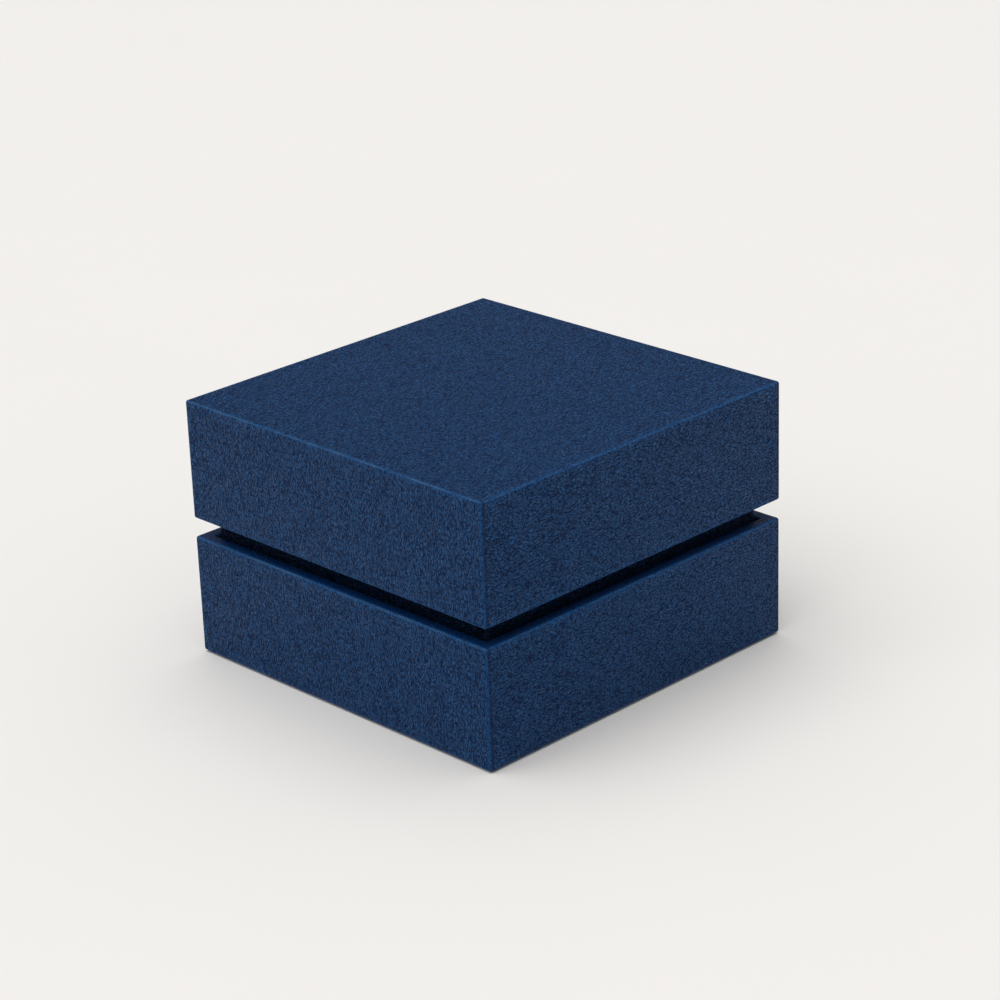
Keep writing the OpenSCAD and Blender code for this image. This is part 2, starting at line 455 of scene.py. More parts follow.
IVORY_SATIN = Satin("ivory_satin", (0.66, 0.59, 0.47), (0.86, 0.8, 0.69))
RIBBON_SATIN = Satin(
    "ribbon_satin", (0.66, 0.58, 0.45), (0.86, 0.79, 0.67), run=(0.12, 1.0, 1.0), thread=0.2 * MM
)
FOAM = Foam("pad_foam", (0.5, 0.48, 0.42), (0.85, 0.83, 0.77))
FLOOR_TONE = PaleGround("studio_floor", (0.88, 0.865, 0.845))


# ---------------------------------------------------------------- mesh helpers


def add_object(name: str, data: bpy.types.ID) -> Piece:
    """Adds an object at the origin to the scene."""
    made = bpy.data.objects.new(name, data)
    bpy.context.scene.collection.objects.link(made)
    return made


def to_object(bm: Mesh, name: str) -> Piece:
    """Turns a finished bmesh into an object at the origin.

    Args:
        bm: The mesh, which is freed.
        name: The object's name.

    Returns:
        The object.
    """
    mesh = bpy.data.meshes.new(name)
    bm.to_mesh(mesh)
    bm.free()
    mesh.shade_smooth()
    mesh.set_sharp_from_angle(angle=SMOOTH_BELOW)
    return add_object(name, mesh)


def dress(obj: Piece, *materials: Material) -> None:
    """Gives an object its materials, in the order of its faces' slot numbers."""
    obj.data.materials.clear()
    for material in materials:
        obj.data.materials.append(material)


def step(value: float, low: float, high: float) -> float:
    """Rises smoothly from 0 at the low value to 1 at the high one."""
    share = min(1.0, max(0.0, (value - low) / (high - low)))
    return share * share * (3 - 2 * share)


def points_at(verts: Iterable[Point], height: float) -> list:
    """The points at one height."""
    return [v for v in verts if abs(v.co.z - height) < SAME]


def edges_within(verts: Iterable[Point]) -> list:
    """The edges whose two ends are both among the given points."""
    chosen = set(verts)
    near = {e for v in chosen for e in v.link_edges}
    return [e for e in near if all(v in chosen for v in e.verts)]


def split_long(bm: Mesh, axis: int, pitch: float, cuts: int) -> None:
    """Cuts every edge that runs along one axis and is longer than the pitch.

    Args:
        bm: The mesh.
        axis: 0, 1 or 2 for X, Y or Z.
        pitch: Edges up to twice this long are left.
        cuts: How many cuts each edge gets.
    """
    chosen = [e for e in bm.edges if abs(e.verts[0].co[axis] - e.verts[1].co[axis]) > 2 * pitch]
    bmesh.ops.subdivide_edges(bm, edges=chosen, cuts=cuts, use_grid_fill=True)


def add_box(bm: Mesh, size: Iterable[float], centre: Iterable[float]) -> None:
    """Fills an empty mesh with a box of a given size, about its centre."""
    bmesh.ops.create_cube(bm, size=1.0)
    bmesh.ops.transform(bm, matrix=Matrix.Diagonal((*size, 1.0)), verts=bm.verts)
    bmesh.ops.translate(bm, vec=centre, verts=bm.verts)


def cut(bm: Mesh, place: Iterable[float], normal: Iterable[float], drop: bool = False) -> None:
    """Cuts the whole mesh along a plane.

    Args:
        bm: The mesh.
        place: A point on the plane.
        normal: The plane's direction.
        drop: Whether what lies behind the plane is dropped.
    """
    bmesh.ops.bisect_plane(
        bm, geom=[*bm.verts, *bm.edges, *bm.faces], dist=CUT_NEAR, plane_co=place, plane_no=normal,
        clear_inner=drop,
    )


def round_off(bm: Mesh, edges: list, radius: float, segments: int) -> None:
    """Rounds edges.

    Args:
        bm: The mesh.
        edges: The edges.
        radius: Their new radius.
        segments: How many flats make up the curve.
    """
    bmesh.ops.bevel(
        bm, geom=edges, offset=radius, offset_type="OFFSET", segments=segments, profile=0.5,
        affect="EDGES", material=-1, clamp_overlap=True,
    )


def turn_over(bm: Mesh, low: float, high: float) -> None:
    """Turns a closed mesh upside down between two heights, with its faces still outwards."""
    for v in bm.verts:
        v.co.z = low + high - v.co.z
    bmesh.ops.reverse_faces(bm, faces=bm.faces)


# ---------------------------------------------------------------- coverings


class Foot(Enum):
    """What a covering does at the end of the wall away from its rim."""

    CLOSED = "covers a whole panel"
    TURNED_UNDER = "is turned under along the edges"
    OPEN = "ends there"


@dataclass
class Covering:
    """The leatherette on one box part: up the walls, round the rim and down inside."""

    name: str
    node: str
    body: str
    slot: str
    finish: Leatherette
    rim_up: bool
    foot: Foot
    wall: float
    turn: float
    skin: float
    radius: float
    seed: int
    under_turn: float = 10 * MM
    pitch: float = 1.15 * MM
    lap: float = 0.8 * MM
    lap_step: float = 0.05 * MM
    lap_slope: float = 0.12 * MM
    bow: float = 0.07 * MM
    ripple: float = 0.012 * MM
    calm_edge: float = 4 * MM
    pressed_edge: float = 0.8 * MM
    smooth_side: tuple[float, float] = (3.0 * MM, 2.1 * MM)
    # how much lighter the folds are drawn on the X and Y sides: wear and a painted highlight, stronger on the
    # X sides
    rubbing_and_highlight: tuple[float, float] = (0.85, 0.35)

    def build(self) -> Piece:
        """Builds the covering as a closed shell and puts it on its body.

        Returns:
            The covering.
        """
        low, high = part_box(self.node)
        self.half = (high.x - low.x) / 2
        self.foot_z, self.rim_z = (low.z, high.z) if self.rim_up else (high.z, low.z)
        self.inward = -1.0 if self.rim_up else 1.0
        bm = bmesh.new()
        self._fold(bm)
        self._round(bm)
        self._divide(bm)
        outside = self._thicken(bm)
        self._unfold(bm)
        self._shape(bm, outside)
        obj = to_object(bm, self.name)
        dress(obj, self.finish.build())
        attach(obj, self.body)
        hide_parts(self.node)
        return obj

    def _fold(self, bm: Mesh) -> None:
        """Folds the blank: a cube without its open sides, with the turned-in strips extruded.

        Args:
            bm: The empty mesh.
        """
        size = (2 * self.half, 2 * self.half, abs(self.rim_z - self.foot_z))
        add_box(bm, size, (0, 0, (self.rim_z + self.foot_z) / 2))
        gone = [self.rim_z] if self.foot is Foot.CLOSED else [self.rim_z, self.foot_z]
        faces = [f for f in bm.faces if any(abs(f.calc_center_median().z - z) < SAME for z in gone)]
        bmesh.ops.delete(bm, geom=faces, context="FACES_ONLY")
        if self.foot is Foot.TURNED_UNDER:
            self._turn_in(bm, edges_within(points_at(bm.verts, self.foot_z)), self.under_turn, 0.0)
        edge = edges_within(points_at(bm.verts, self.rim_z))
        edge = self._turn_in(bm, edge, self.wall, 0.0)
        self._turn_in(bm, edge, 0.0, self.inward * self.turn)

    def _turn_in(self, bm: Mesh, edges: list, inset: float, rise: float) -> list:
        """Extrudes a square loop of edges towards the box's middle, or along its inner wall.

        Args:
            bm: The mesh.
            edges: The loop.
            inset: How far it goes in.
            rise: How far it goes along Z.

        Returns:
            The new loop.
        """
        new = bmesh.ops.extrude_edge_only(bm, edges=edges)["geom"]
        verts = [v for v in new if isinstance(v, Point)]
        for v in verts:
            v.co.x -= math.copysign(inset, v.co.x)
            v.co.y -= math.copysign(inset, v.co.y)
            v.co.z += rise
        return edges_within(verts)

    def _round(self, bm: Mesh) -> None:
        """Rounds every fold of the blank over the board's edges."""
        def folded(edge: Edge) -> bool:
            """Whether an edge is a fold over a board, not a mitre or an inner crease."""
            a, b = (v.co for v in edge.verts)
            outer = all(max(abs(p.x), abs(p.y)) > self.half - SAME for p in (a, b))
            upright = abs(a.z - b.z) > SAME
            at_rim = abs(a.z - self.rim_z) < SAME and not upright
            at_foot = abs(a.z - self.foot_z) < SAME and self.foot is not Foot.OPEN
            mitre = abs(abs(a.x) - abs(b.x)) > SAME and abs(abs(a.y) - abs(b.y)) > SAME
            return not mitre and (outer and (upright or at_foot) or at_rim)

        round_off(bm, [e for e in bm.edges if folded(e)], self.radius, 4)

    def _divide(self, bm: Mesh) -> None:
        """Cuts the panels into a grid fine enough for their slight waves, with an edge at each lap.

        Args:
            bm: The rounded blank.
        """
        across = round(2 * self.half / self.pitch)
        for axis in (0, 1):
            split_long(bm, axis, 2 * self.pitch, across)
        split_long(bm, 2, 2 * self.pitch, round(abs(self.rim_z - self.foot_z) / self.pitch / 1.3))
        for side in (-1, 1):
            for beside in (-self.lap_slope / 2, self.lap_slope / 2):
                cut(bm, (side * (self.half - self.lap + beside), 0, 0), (1, 0, 0))
        bmesh.ops.recalc_face_normals(bm, faces=bm.faces)

    def _thicken(self, bm: Mesh) -> set:
        """Gives the divided blank its thickness, inward. Returns: the points of the outside."""
        outer = Vector((self.half, 0, (self.rim_z + self.foot_z) / 2))
        probe = min(bm.faces, key=lambda f: (f.calc_center_median() - outer).length)
        if probe.normal.x < 0:
            bmesh.ops.reverse_faces(bm, faces=bm.faces)
        outside = set(bm.verts)
        bmesh.ops.solidify(bm, geom=list(bm.faces), thickness=self.skin)
        return outside

    def _unfold(self, bm: Mesh) -> None:
        """Stores each face's place on the flat sheet, so that the grain runs on over the folds.

        Args:
            bm: The shell, before it is bowed.
        """
        sheet = bm.loops.layers.float_vector.new("sheet")
        bm.normal_update()
        for face in bm.faces:
            axis = max(range(3), key=lambda i: abs(face.normal[i]))
            for loop in face.loops:
                x, y, z = loop.vert.co
                fall = abs(z - self.foot_z)
                if axis == 2:
                    place = Vector((x, y, fall))
                elif self.foot is Foot.OPEN:
                    place = Vector((y if axis == 0 else x, fall, self.half * axis))
                elif axis == 0:
                    place = Vector((math.copysign(self.half + fall, x), y, 0))
                else:
                    place = Vector((x, math.copysign(self.half + fall, y), 0))
                loop[sheet] = place

    def _shape(self, bm: Mesh, outside: set) -> None:
        """Bows and ripples the outside a little, steps the laps, and stores where the grain is changed: where
        it is pressed, where the folds are drawn lighter as wear with a painted highlight (stronger on the X
        sides), and where it is drawn darker as painted shade on the rim's top and as a lap line with painted
        shade beside the corners.

        Args:
            bm: The shell.
            outside: The points of its outside.
        """
        pressed, worn_and_highlight, seam_and_shade = (bm.verts.layers.float.new(name) for name in ("pressed", "worn_and_highlight", "seam_and_shade"))
        for v in bm.verts:
            x, y, z = v.co
            from_x, from_y = self.half - abs(x), self.half - abs(y)
            from_foot, from_rim = abs(z - self.foot_z), abs(z - self.rim_z)
            on_foot_panel = from_foot < FLUSH and self.foot is Foot.CLOSED
            ends = [from_rim] if self.foot is Foot.OPEN else [from_rim, from_foot]
            on_side = min(from_x, from_y) < FLUSH
            on_y_side = from_y < from_x
            folds = ends + [max(from_x, from_y)] if on_side else [min(from_x, from_y, *ends)]
            if on_foot_panel:
                folds = [from_x, from_y]
            near = min(folds)
            v[pressed] = max(0.0, 1.0 - near / self.pressed_edge) ** 1.5
            from_top = abs(z - max(self.foot_z, self.rim_z))
            # a band on the rounded top edges is drawn lighter: wear and a painted highlight
            if max(from_top, min(from_x, from_y)) < self.radius and self.foot is not Foot.OPEN:
                share = max(0.0, 1 - abs(from_top / self.radius - 0.3) / 0.3)
                v[worn_and_highlight] = share * self.rubbing_and_highlight[on_y_side] * (0.8 + 0.8 * noise.noise(v.co * 300))
            # the rim's top is marked for darkening: painted shade where the lid overhangs it
            if from_rim < FLUSH and self.rim_up and min(from_x, from_y) > self.radius:
                v[seam_and_shade] = 1.0
            # a narrow strip on the Y sides beside each corner is marked for darkening: the lap's edge and
            # painted shade on the rounded corner's flank
            if self.foot is not Foot.OPEN and on_y_side and from_y < self.radius and from_x < self.lap:
                v[seam_and_shade] = 1.0
            if v not in outside or near < self.radius:
                continue
            calm = min(1.0, (near - self.radius) / self.calm_edge)
            wave = noise.noise(Vector((x, y, z)) * 70 + Vector((self.seed, 0, 0)))
            ripple = noise.noise(Vector((x, y, z)) * 330 + Vector((0, self.seed, 0)))
            depth = calm * (self.bow * (0.6 + 0.4 * wave) + self.ripple * (1 + ripple))
            if on_side:
                along = max(from_x, from_y)
                smooth = self.smooth_side[on_y_side]
                v[pressed] = max(v[pressed], 0.75 * (1 - step(along, 0.8 * smooth, 1.1 * smooth)))
                if on_y_side and along < self.lap:
                    depth += self.lap_step
                v.co[on_y_side] -= math.copysign(depth, v.co[on_y_side])
            elif on_foot_panel:
                v.co.z += -depth if self.foot_z > self.rim_z else depth


# ---------------------------------------------------------------- soft goods


class Facing(Enum):
    """Which way a pad's crowned face looks."""

    UP = 1
    DOWN = -1


def soft_block(
    low: Vector, high: Vector, edge: float, upright: float, slot: tuple[float, float] | None = None
) -> Mesh:
    """A block with rounded upper and upright edges, and a slot along X where one is asked for.

    Args:
        low: Its lowest corner.
        high: Its highest corner.
        edge: The radius along its top and along the slot's lips.
        upright: The radius of its upright edges.
        slot: Half the slot's width and the height of its floor.

    Returns:
        The block's mesh.
    """
    bm = bmesh.new()
    add_box(bm, high - low, (low + high) / 2)
    if slot is not None:
        half_width, floor_z = slot
        for y in (half_width, -half_width):
            cut(bm, (0, y, 0), (0, 1, 0))
        lid = [f for f in bm.faces if f.normal.z > 0.5 and abs(f.calc_center_median().y) < half_width]
        sunk = bmesh.ops.extrude_discrete_faces(bm, faces=lid)["faces"]
        for v in {v for f in sunk for v in f.verts}:
            v.co.z = floor_z
        cut(bm, (0, 0, floor_z), (0, 0, 1))
        ends = [
            f for f in bm.faces
            if abs(f.normal.x) > 0.5 and abs(f.calc_center_median().y) < half_width
            and f.calc_center_median().z > floor_z
        ]
        bmesh.ops.delete(bm, geom=ends, context="FACES")
        bmesh.ops.remove_doubles(bm, verts=bm.verts, dist=SAME)

    def is_top(e: Edge) -> bool:
        """Whether an edge runs along the block's top."""
        return all(v.co.z > high.z - SAME for v in e.verts) and e.calc_face_angle(0.0) > 0.5

    def is_upright(e: Edge) -> bool:
        """Whether an edge stands at a corner."""
        a, b = (v.co for v in e.verts)
        return abs(a.z - b.z) > SAME and e.calc_face_angle(0.0) > 0.5

    for chosen, radius in ((is_top, edge), (is_upright, upright)):
        round_off(bm, [e for e in bm.edges if chosen(e)], radius, 5)
    return bm


@dataclass(frozen=True)
class Swell:
    """How a cover swells over its filling when the cloth is simulated."""

    pressure: float = 5.0
    most: float = 0.45 * MM
    frames: int = 20
    magnify: float = 10.0

    def run(self, obj: Piece, held: Callable[[Vector], bool]) -> None:
        """Inflates the cover, larger than life so that the solver's own limits don't matter.

        Args:
            obj: The cover, a closed mesh.
            held: Says whether a point is glued or stitched down.
        """
        mesh = obj.data
        group = obj.vertex_groups.new(name="held")
        group.add([v.index for v in mesh.vertices if held(v.co)], 1.0, "REPLACE")
        start = [v.co.copy() for v in mesh.vertices]
        mesh.transform(Matrix.Scale(self.magnify, 4))
        cloth = obj.modifiers.new("cloth", "CLOTH")
        cloth.point_cache.frame_start, cloth.point_cache.frame_end = 1, self.frames
        settings = cloth.settings
        settings.quality = 5
        settings.vertex_group_mass = group.name
        settings.use_pressure = True
        settings.uniform_pressure_force = self.pressure
        settings.effector_weights.gravity = 0.0
        for frame_number in range(1, self.frames + 1):
            bpy.context.scene.frame_set(frame_number)
        evaluated = obj.evaluated_get(bpy.context.evaluated_depsgraph_get())
        moved = [v.co / self.magnify for v in evaluated.data.vertices]
        obj.modifiers.remove(cloth)
        obj.vertex_groups.clear()
        bpy.context.scene.frame_set(1)
        for v, was, now in zip(mesh.vertices, start, moved):
            shift = now - was
            if shift.length > 0:
                shift *= self.most * math.tanh(shift.length / self.most) / shift.length
            v.co = was + shift


@dataclass
class SoftCover:
    """Cloth drawn over a padded block: crowned, swollen by simulation, turned in at its open side."""

    name: str
    node: str
    body: str
    slot_name: str
    material: Material
    facing: Facing
    cloth: float
    edge: float
    upright: float
    crown: float
    held_height: float
    turn_in: float
    turn_along: float
    swell: Swell
    fill: float
    slot: tuple[float, float] | None = None
    voxel: float = 0.62 * MM
    waist: float = 0.22 * MM
    tucks: float = 0.0

    def build(self) -> Piece:
        """Returns:
            The cover.
        """
        low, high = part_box(self.node)
        self.low, self.high = Vector(low), Vector(high)
        room = Vector((0, 0, self.swell.most))
        bm = soft_block(self.low, self.high - room, self.edge, self.upright, self.slot)
        obj = self._remesh(bm)
        self._crown(obj)
        self.swell.run(obj, lambda p: p.z < self.low.z + self.held_height or self._on_slot_floor(p))
        self._settle(obj)
        self._open_and_turn(obj)
        dress(obj, self.material)
        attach(obj, self.body)
        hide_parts(self.node)
        return obj

    def _on_slot_floor(self, p: Vector) -> bool:
        """Whether a point is on the slot's floor or just above it."""
        return self.slot is not None and abs(p.y) < self.slot[0] * 1.5 and p.z < self.slot[1] + 0.6 * MM

    def _remesh(self, bm: Mesh) -> Piece:
        """Turns the block into an even net of small quads. Returns: an object with that net."""
        rough = to_object(bm, self.name + "_rough")
        remesh = rough.modifiers.new("net", "REMESH")
        remesh.mode, remesh.voxel_size = "VOXEL", self.voxel
        evaluated = rough.evaluated_get(bpy.context.evaluated_depsgraph_get())
        mesh = bpy.data.meshes.new_from_object(evaluated)
        bpy.data.objects.remove(rough)
        mesh.name = self.name
        return add_object(self.name, mesh)

    def _crown(self, obj: Piece) -> None:
        """Lowers the face towards its edges and draws the waist in, so that the pad is crowned."""
        half = (self.high.x - self.low.x) / 2
        middle = self.low.z + self.held_height
        for v in obj.data.vertices:
            x, y, z = v.co
            lobe = 2 * abs(y) / half - 1 if self.slot is not None else y / half
            raised = step(z, middle, self.high.z)
            v.co.z -= self.crown * raised * (0.5 * abs(x / half) ** 2.4 + 0.5 * abs(lobe) ** 2.4)
            pull = self.waist * step(z, middle - 3 * MM, middle + 3 * MM)
            v.co.x -= math.copysign(pull * abs(x / half) ** 3, x)
            v.co.y -= math.copysign(pull * max(0.0, abs(y) / half - 0.5) * 2, y)

    def _settle(self, obj: Piece) -> None:
        """Evens the cloth out, adds its small tucks and keeps it in its own space."""
        bm = bmesh.new()
        bm.from_mesh(obj.data)
        bmesh.ops.smooth_vert(
            bm, verts=bm.verts, factor=0.5, use_axis_x=True, use_axis_y=True, use_axis_z=True
        )
        half = (self.high.x - self.low.x) / 2
        for v in bm.verts:
            x, y, z = v.co
            raised = step(z, self.low.z + self.held_height, self.high.z - self.edge)
            near_edge = step(max(abs(x), abs(y)), half - 7 * MM, half - 1.5 * MM)
            along = y if abs(x) > abs(y) else x
            fold = noise.noise(Vector((along * 520, 3.0 * (abs(x) > abs(y)), 7.0)))
            v.co += v.normal * self.tucks * fold * near_edge * raised
            v.co.x = max(self.low.x, min(self.high.x, v.co.x))
            v.co.y = max(self.low.y, min(self.high.y, v.co.y))
            v.co.z = min(self.high.z, v.co.z)
            if self.slot is not None and self._beside_slot(v.co):
                v.co.y = math.copysign(max(abs(v.co.y), 0.12 * MM), v.co.y)
        bm.to_mesh(obj.data)
        bm.free()

    def _beside_slot(self, p: Vector) -> bool:
        """Whether a point is on one of the slot's walls."""
        return abs(p.y) < 2 * self.slot[0] and p.z > self.slot[1] + 0.8 * MM

    def _open_and_turn(self, obj: Piece) -> None:
        """Cuts the cover open below, turns its edge in and along, and gives the cloth its thickness."""
        bm = bmesh.new()
        bm.from_mesh(obj.data)
        foot = self.low.z
        cut(bm, (0, 0, foot + 0.5 * self.cloth), (0, 0, 1), drop=True)
        inner = self.high.x - self.turn_in
        turns = [(self.high.x - 0.35 * self.cloth, foot), (inner, foot)]
        if self.turn_along > 0:
            turns.append((inner, foot + self.turn_along))
        rim = [e for e in bm.edges if e.is_boundary]
        for limit, z in turns:
            new = bmesh.ops.extrude_edge_only(bm, edges=rim)["geom"]
            for v in (v for v in new if isinstance(v, Point)):
                v.co.x = max(-limit, min(limit, v.co.x))
                v.co.y = max(-limit, min(limit, v.co.y))
                v.co.z = z
            rim = [e for e in new if isinstance(e, Edge) and e.is_boundary]
        bmesh.ops.remove_doubles(bm, verts=bm.verts, dist=SAME)
        bmesh.ops.recalc_face_normals(bm, faces=bm.faces)
        top = max(bm.faces, key=lambda f: f.calc_center_median().z)
        if top.normal.z < 0:
            bmesh.ops.reverse_faces(bm, faces=bm.faces)
        bmesh.ops.solidify(bm, geom=list(bm.faces), thickness=self.cloth)
        if self.facing is Facing.DOWN:
            turn_over(bm, self.low.z, self.high.z)
        bm.to_mesh(obj.data)
        bm.free()
        obj.data.shade_smooth()
        obj.data.set_sharp_from_angle(angle=CLOTH_SMOOTH_BELOW)


@dataclass
class FoamBlock:
    """A cut block of foam whose upper edges give under the cloth drawn over it."""

    name: str
    node: str
    body: str
    material: Material
    facing: Facing
    inset: float
    sunk: float
    edge: float

    def build(self) -> Piece:
        """Returns:
            The block.
        """
        low, high = (Vector(p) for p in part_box(self.node))
        aside = Vector((self.inset, self.inset, 0.0))
        bm = soft_block(low + aside, high - aside - Vector((0, 0, self.sunk)), self.edge, self.edge)
        bmesh.ops.triangulate(bm, faces=[f for f in bm.faces if len(f.verts) > 4])
        if self.facing is Facing.DOWN:
            turn_over(bm, low.z, high.z)
        obj = to_object(bm, self.name)
        dress(obj, self.material)
        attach(obj, self.body)
        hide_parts(self.node)
        return obj


@dataclass
class PullRibbon:
    """A satin ribbon glued down the back of the ring pad and laid forward over its edge."""

    node: str
    cover: Piece
    material: Material
    thickness: float = 0.22 * MM
    clear: float = 0.1 * MM
    across: int = 12
    along: int = 90
    curl: float = 0.55 * MM
    bend: float = 6 * MM
    far: float = 40 * MM

    def build(self) -> Piece:
        """Returns:
            The ribbon.
        """
        low, high = (Vector(p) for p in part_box(self.node))
        surface = BVHTree.FromObject(self.cover, bpy.context.evaluated_depsgraph_get())
        hang, width = high.z - low.z, high.x - low.x
        length = hang + (high.y - low.y)
        bm = bmesh.new()
        bmesh.ops.create_grid(bm, x_segments=self.across, y_segments=self.along, size=0.5)
        for v in bm.verts:
            x, run = v.co.x * width, (v.co.y + 0.5) * length
            start, aim = self._aim(run, hang, low, high)
            hit = surface.ray_cast(start + Vector((x, 0, 0)), aim)[0]
            if hit is None:
                raise ValueError("the ribbon misses the pad")
            v.co = hit - aim * (self.clear + 0.5 * self.thickness)
            v.co.z += self.curl * step(run, length - 5 * MM, length) ** 2
        bmesh.ops.smooth_vert(
            bm, verts=bm.verts, factor=0.5, use_axis_x=False, use_axis_y=True, use_axis_z=True
        )
        bmesh.ops.recalc_face_normals(bm, faces=bm.faces)
        bmesh.ops.solidify(bm, geom=list(bm.faces), thickness=self.thickness)
        obj = to_object(bm, "pull_ribbon")
        dress(obj, self.material)
        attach(obj, "insert")
        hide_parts(self.node)
        return obj

    def _aim(self, run: float, hang: float, low: Vector, high: Vector) -> tuple[Vector, Vector]:
        """Where a ray starts, and its direction, for one place along the ribbon.

        Args:
            run: The distance along the ribbon from its lower end.
            hang: The length that hangs.
            low: The ribbon's lowest corner.
            high: The ribbon's highest corner.

        Returns:
            The start and the direction.
        """
        eye = Vector((0, high.y - self.bend, high.z - self.bend))
        bend = high.z - eye.z
        if run < hang - bend:
            aim = Vector((0, -1, 0))
            start = Vector((0, high.y + self.far, low.z + run))
        elif run > hang + bend:
            aim = Vector((0, 0, -1))
            start = Vector((0, high.y - (run - hang), high.z + self.far))
        else:
            angle = (run - hang + bend) / (2 * bend) * math.pi / 2
            aim = Vector((0, -math.cos(angle), -math.sin(angle)))
            start = eye - aim * self.far
        return start, aim


# ---------------------------------------------------------------- assemblies


def paint(finish: RoughBoard | Pile | Foam, *nodes: str) -> None:
    """Gives the CAD nodes that stay in view their finish."""
    for node in nodes:
        dress(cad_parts[node], finish.build())


@dataclass
class BaseTray:
    """The base: board tray, taped corners, covering, underside sheet, floor lining and the neck."""

    skin: float
    wall: float
    turn: float
    neck_wall: float
    neck_turn: float = 7 * MM

    def build(self) -> None:
        """Builds and dresses every piece of the base."""
        Covering(
            "base_covering", "base_wrap", "base", "leatherette", NAVY, True, Foot.TURNED_UNDER,
            self.wall, self.turn, self.skin, 0.5 * MM, seed=3,
        ).build()
        log.info("base_covering: on the base tray")
        # the neck gets the darker navy, which is painted shade
        Covering(
            "neck_covering", "neck_wrap", "base", "neck_leatherette", SHADED_NECK_NAVY, True, Foot.OPEN,
            self.neck_wall, self.neck_turn, self.skin, 0.4 * MM, seed=17, bow=0.03 * MM, lap=1.2 * MM,
        ).build()
        log.info("neck_covering: on the neck")
        paint(GREYBOARD, "base_floor_panel", "base_wall_frame", "neck_board")
        paint(KRAFT, "base_corner_stays", "neck_joint_tape")
        paint(NAVY_PAPER, "base_underside_sheet")
        paint(VELVET_PAPER, "base_floor_lining", "neck_lining")
        log.info("base: boards, tape, underside sheet and linings dressed")


@dataclass
class Insert:
    """The pad that lifts out: a card platform, foam, velvet over both, and a pull ribbon."""

    cloth: float
    edge: float = 3.2 * MM
    slot_half: float = 0.75 * MM

    def build(self) -> None:
        """Builds and dresses every piece of the insert."""
        platform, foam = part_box("insert_platform"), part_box("insert_foam_base")
        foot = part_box("insert_velvet")[0].z
        cover = SoftCover(
            "velvet_cover", "insert_velvet", "insert", "velvet", VELVET.build(), Facing.UP, self.cloth,
            edge=self.edge, upright=1.1 * MM, crown=1.1 * MM, held_height=foam[1].z - foot,
            turn_in=2 * self.cloth + (platform[1].z - foam[0].z) + 1 * MM, turn_along=4 * MM,
            swell=Swell(), fill=0.9, slot=(self.slot_half, foam[1].z + self.cloth),
            tucks=0.05 * MM,
        ).build()
        log.info("velvet_cover: over the ring pad, %d faces", len(cover.data.polygons))
        for side in ("front", "rear"):
            FoamBlock(
                "foam_pad_" + side, "insert_foam_" + side, "insert", FOAM.build(), Facing.UP,
                inset=1.1 * MM, sunk=1.3 * MM, edge=3.0 * MM,
            ).build()
            log.info("foam_pad_%s: under the velvet", side)
        PullRibbon("insert_pull_ribbon", cover, RIBBON_SATIN.build()).build()
        paint(GREYBOARD, "insert_platform")
        paint(FOAM, "insert_foam_base")
        log.info("insert: platform and foam base dressed")


@dataclass
class Lid:
    """The lid: board tray, taped corners, covering, lining and a padded satin ceiling."""

    skin: float
    wall: float
    turn: float

    def build(self) -> None:
        """Builds and dresses every piece of the lid."""
        Covering(
            "lid_covering", "lid_wrap", "lid", "leatherette", NAVY, False, Foot.CLOSED,
            self.wall, self.turn, self.skin, 0.42 * MM, seed=29,
        ).build()
        log.info("lid_covering: on the lid")
        card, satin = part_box("lid_pad_card"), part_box("lid_pad_satin")
        cover = SoftCover(
            "satin_cover", "lid_pad_satin", "lid", "satin", IVORY_SATIN.build(), Facing.DOWN,
            satin[1].x - card[1].x, edge=2.2 * MM, upright=0.9 * MM, crown=0.9 * MM,
            held_height=satin[1].z - card[0].z, turn_in=6 * MM, turn_along=0.0,
            swell=Swell(most=0.4 * MM), fill=0.85, tucks=0.09 * MM,
        ).build()
        log.info("satin_cover: on the lid's pad, %d faces", len(cover.data.polygons))
        FoamBlock(
            "lid_foam_sheet", "lid_pad_foam", "lid", FOAM.build(), Facing.DOWN,
            inset=0.7 * MM, sunk=1.1 * MM, edge=1.8 * MM,
        ).build()
        log.info("lid_foam_sheet: under the satin")
        paint(GREYBOARD, "lid_top_panel", "lid_wall_frame", "lid_pad_card")
        paint(KRAFT, "lid_corner_stays")
        paint(CREAM_PAPER, "lid_lining")
        log.info("lid: boards, tape and lining dressed")


# ---------------------------------------------------------------- studio


def direction(azimuth: float, elevation: float) -> Vector:
    """The way to a place in the sky, from its angle round from +X and its height, in degrees."""
    a, e = math.radians(azimuth), math.radians(elevation)
    return Vector((math.cos(e) * math.cos(a), math.cos(e) * math.sin(a), math.sin(e)))


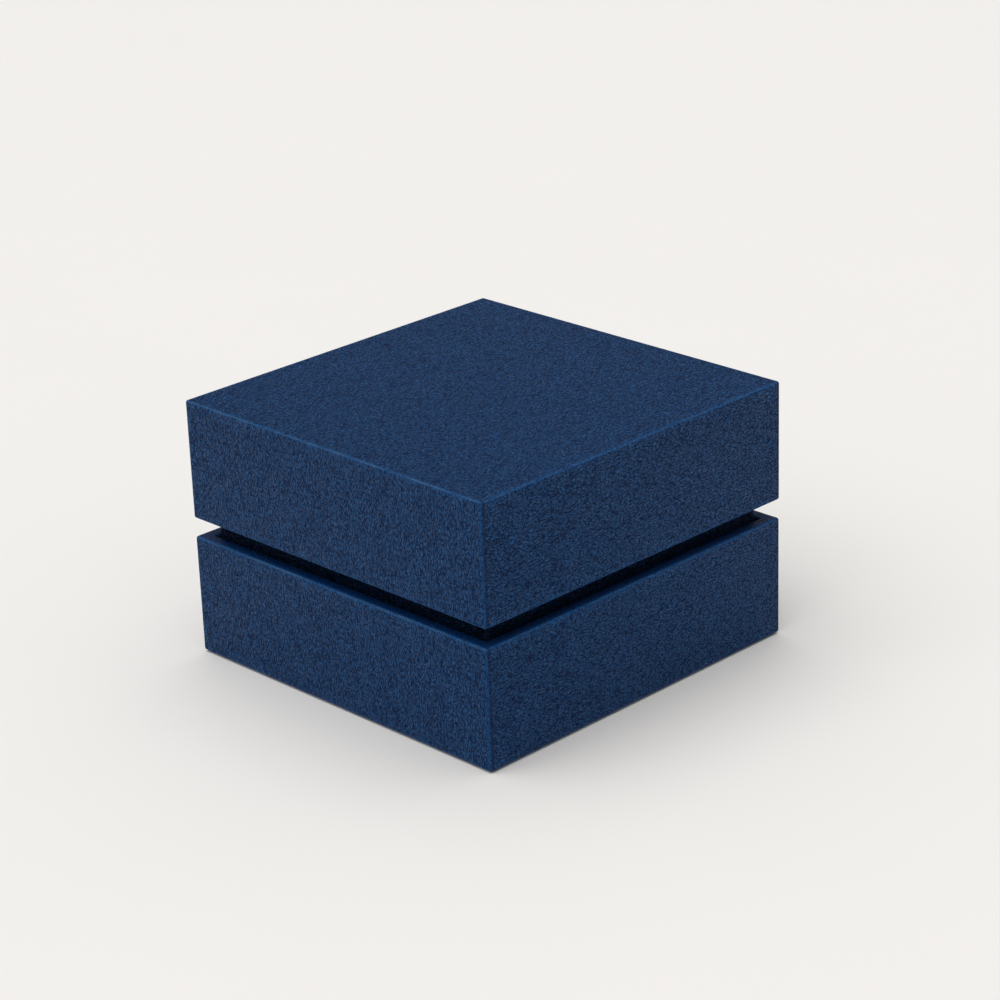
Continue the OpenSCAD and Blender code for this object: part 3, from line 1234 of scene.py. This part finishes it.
@dataclass
class Studio:
    """The pale floor, the soft lights and the camera."""

    side: float
    azimuth: float = 225.67
    elevation: float = 22.1
    roll: float = -2.06
    distance: float = 7.164
    aim: tuple[float, float, float] = (0.0, -0.0475, 0.389)
    focal: float = 107.6
    low_sky: float = 0.2
    high_sky: float = 0.6

    def build(self) -> None:
        """Sets up the floor, the lights, the surroundings and the camera."""
        self._camera()
        self._floor()
        self._surroundings()
        self._soft_light("key", azimuth=172, elevation=58, spread=60, strength=0.9)
        self._soft_light("overhead", azimuth=60, elevation=84, spread=62, strength=0.9)
        log.info("studio: floor, two soft lights and the camera")

    def _camera(self) -> None:
        """Stands the camera at its angle, with its slight roll."""
        a, r = math.radians(self.azimuth), math.radians(self.roll)
        back = direction(self.azimuth, self.elevation)
        right = Vector((-math.sin(a), math.cos(a), 0.0))
        up = back.cross(right)
        across = math.cos(r) * right + math.sin(r) * up
        upward = math.cos(r) * up - math.sin(r) * right
        camera = add_object("camera", bpy.data.cameras.new("camera"))
        camera.data.lens = self.focal
        camera.data.sensor_width = 36.0
        camera.data.clip_start, camera.data.clip_end = 0.01, 50.0
        place = (Vector(self.aim) + back * self.distance) * self.side
        turn = Matrix((across, upward, back)).transposed().to_4x4()
        camera.matrix_world = Matrix.Translation(place) @ turn
        bpy.context.scene.camera = camera

    def _floor(self) -> None:
        """Lays a wide pale floor at the box's underside."""
        bm = bmesh.new()
        bmesh.ops.create_grid(bm, x_segments=8, y_segments=8, size=4.0)
        floor = to_object(bm, "floor")
        dress(floor, FLOOR_TONE.build())

    def _surroundings(self) -> None:
        """Fills the room with pale light that is dimmer towards the horizon."""
        world = bpy.data.worlds.new("room")
        world.use_nodes = True
        nodes, links = world.node_tree.nodes, world.node_tree.links
        height = nodes.new("ShaderNodeSeparateXYZ")
        links.new(nodes.new("ShaderNodeTexCoord").outputs["Generated"], height.inputs[0])
        rise = nodes.new("ShaderNodeMapRange")
        rise.inputs["From Min"].default_value, rise.inputs["From Max"].default_value = 0.0, 0.8
        rise.inputs["To Min"].default_value, rise.inputs["To Max"].default_value = self.low_sky, self.high_sky
        links.new(height.outputs["Z"], rise.inputs["Value"])
        sky = nodes["Background"]
        sky.inputs["Color"].default_value = (1.0, 0.985, 0.965, 1.0)
        links.new(rise.outputs["Result"], sky.inputs["Strength"])
        bpy.context.scene.world = world
        bpy.context.scene.view_settings.view_transform = "Standard"

    def _soft_light(
        self, name: str, azimuth: float, elevation: float, spread: float, strength: float
    ) -> None:
        """Adds a wide, even light from one part of the sky.

        Args:
            name: The light's name.
            azimuth: The direction that it comes from, in degrees from +X towards +Y.
            elevation: Its height above the horizon, in degrees.
            spread: Its width, in degrees.
            strength: The light that it sheds on a surface that faces it, in watts a square metre.
        """
        source = direction(azimuth, elevation)
        light = bpy.data.lights.new(name, "SUN")
        light.angle, light.energy = math.radians(spread), strength
        lamp = add_object(name, light)
        lamp.location = source
        lamp.rotation_euler = (-source).to_track_quat("-Z", "Y").to_euler()


def main() -> None:
    """Builds the box round its frame and sets up the studio."""
    logging.basicConfig(level=logging.INFO, format="%(name)s: %(message)s")
    lid_wrap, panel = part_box("lid_wrap"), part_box("lid_top_panel")
    skin = lid_wrap[1].x - panel[1].x
    wall = panel[1].z - panel[0].z + 2 * skin
    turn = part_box("lid_lining")[0].z - lid_wrap[0].z
    neck_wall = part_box("neck_wrap")[1].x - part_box("neck_lining")[1].x + skin
    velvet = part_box("insert_velvet")[1].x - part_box("insert_platform")[1].x
    Studio(side=lid_wrap[1].x - lid_wrap[0].x).build()
    BaseTray(skin, wall, turn, neck_wall).build()
    Insert(velvet).build()
    Lid(skin, wall, turn).build()


if __name__ == "__main__":
    main()
